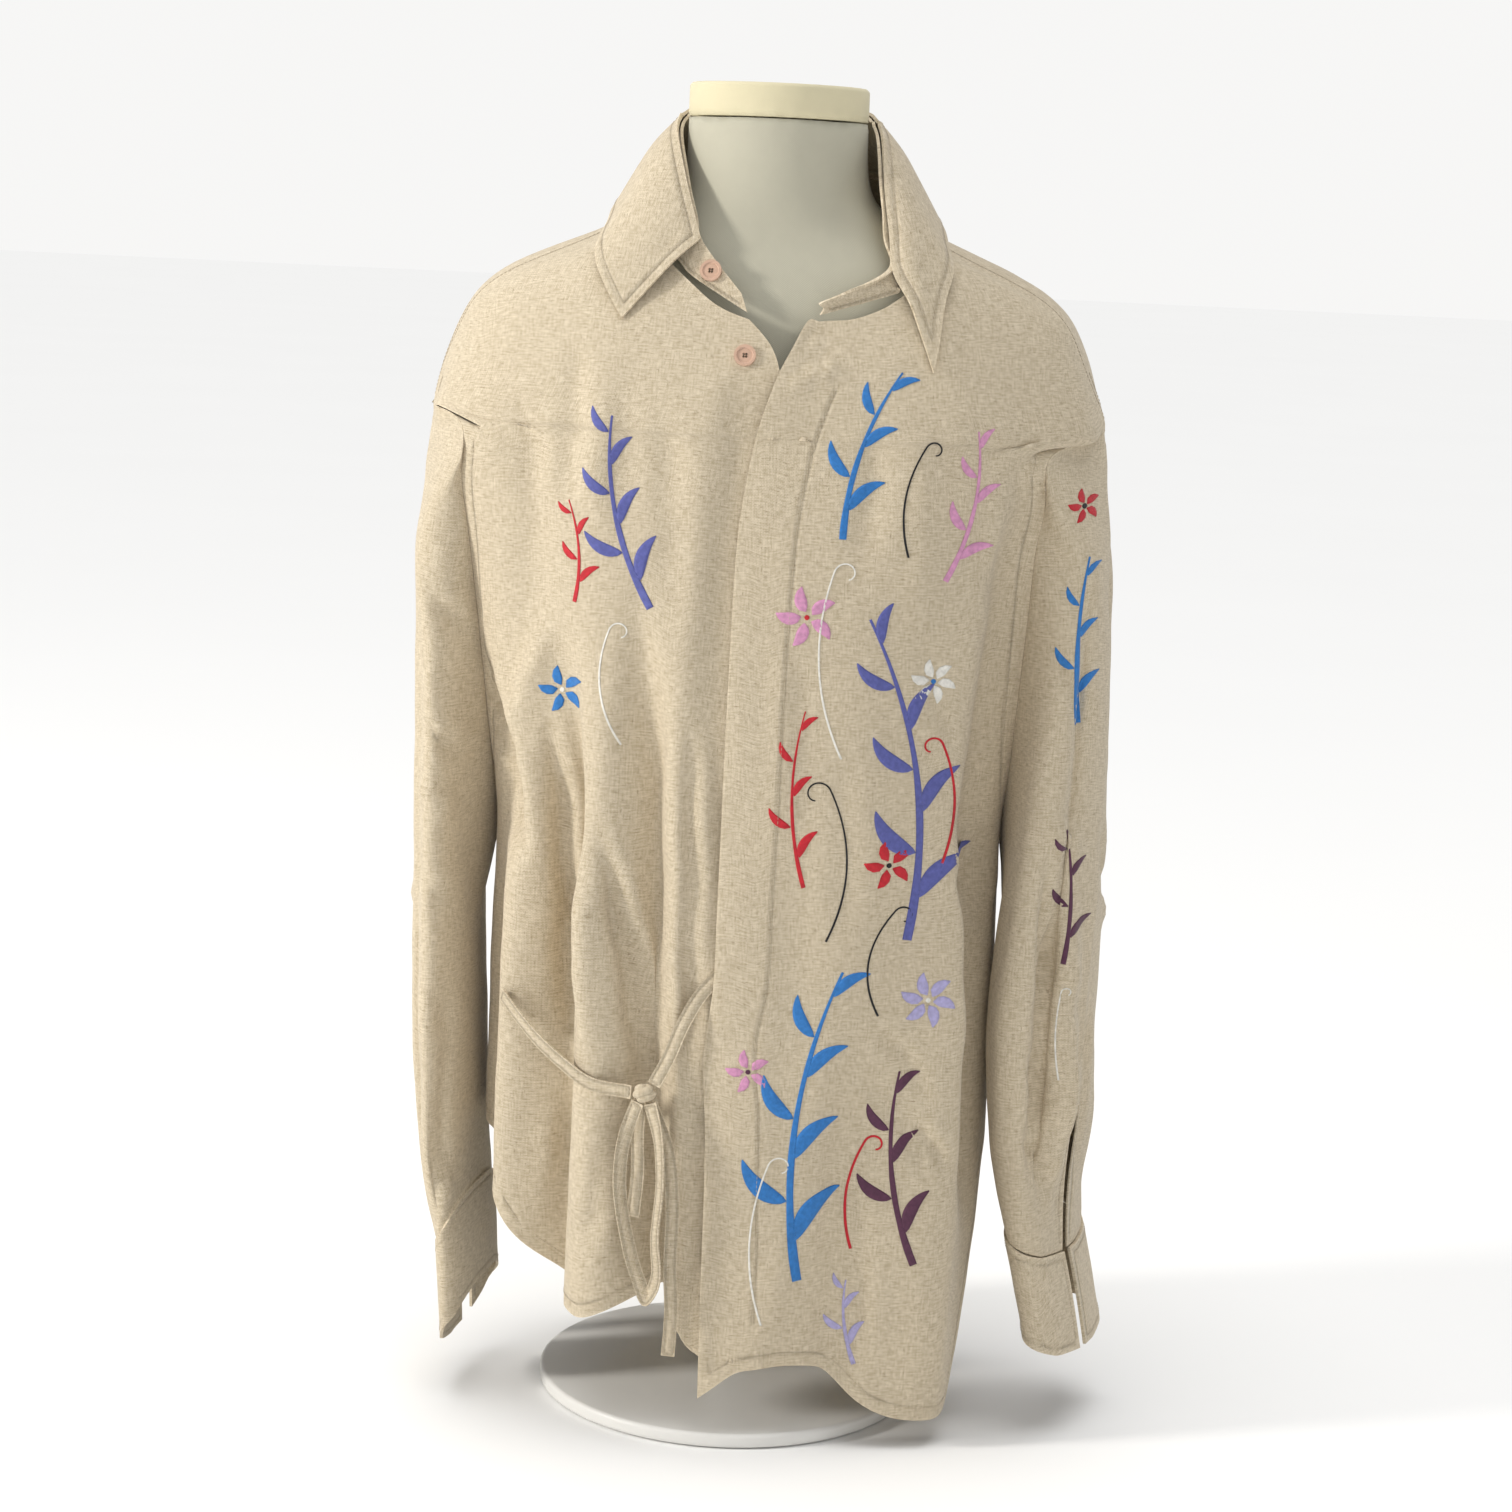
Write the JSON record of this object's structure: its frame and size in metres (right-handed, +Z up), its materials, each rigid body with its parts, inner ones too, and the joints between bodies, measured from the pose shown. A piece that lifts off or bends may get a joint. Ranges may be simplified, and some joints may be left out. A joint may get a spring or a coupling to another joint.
{
  "type": "linen shirt on a dress form",
  "caption": "Long-sleeved linen shirt with collar, concealed front closing and a tied side strip, worn by a small limbless dress form.",
  "frame": {"origin": "middle of the underside of the dress form's round base, on the surface it stands on", "axes": "+Z up the dress form, -Y out of the front of the shirt, +X to the wearer's left"},
  "size_m": [0.4911, 0.2838, 0.892],
  "materials": {
    "linen": "matt woven linen",
    "button": "soft gloss",
    "form_cloth": "matt stretched cloth",
    "cap_cloth": "matt stretched cloth",
    "foot": "satin paint"
  },
  "bodies": {
    "root": {"front_right": "linen", "front_left": "linen", "back": "linen", "yoke": "linen", "collar_stand": "linen", "collar_leaf": "linen", "sleeve_right": "linen", "sleeve_left": "linen", "cuff_right": "linen", "cuff_left": "linen", "button_stand": "button", "button_front": "button", "tie_side_run": "linen", "tie_placket_run": "linen", "tie_knot": "linen", "tie_loop": "linen", "tie_tail_long": "linen", "tie_tail_short": "linen", "form_torso": "form_cloth", "form_cap": "cap_cloth", "form_post": "foot", "form_base": "foot"}
  },
  "joints": []
}
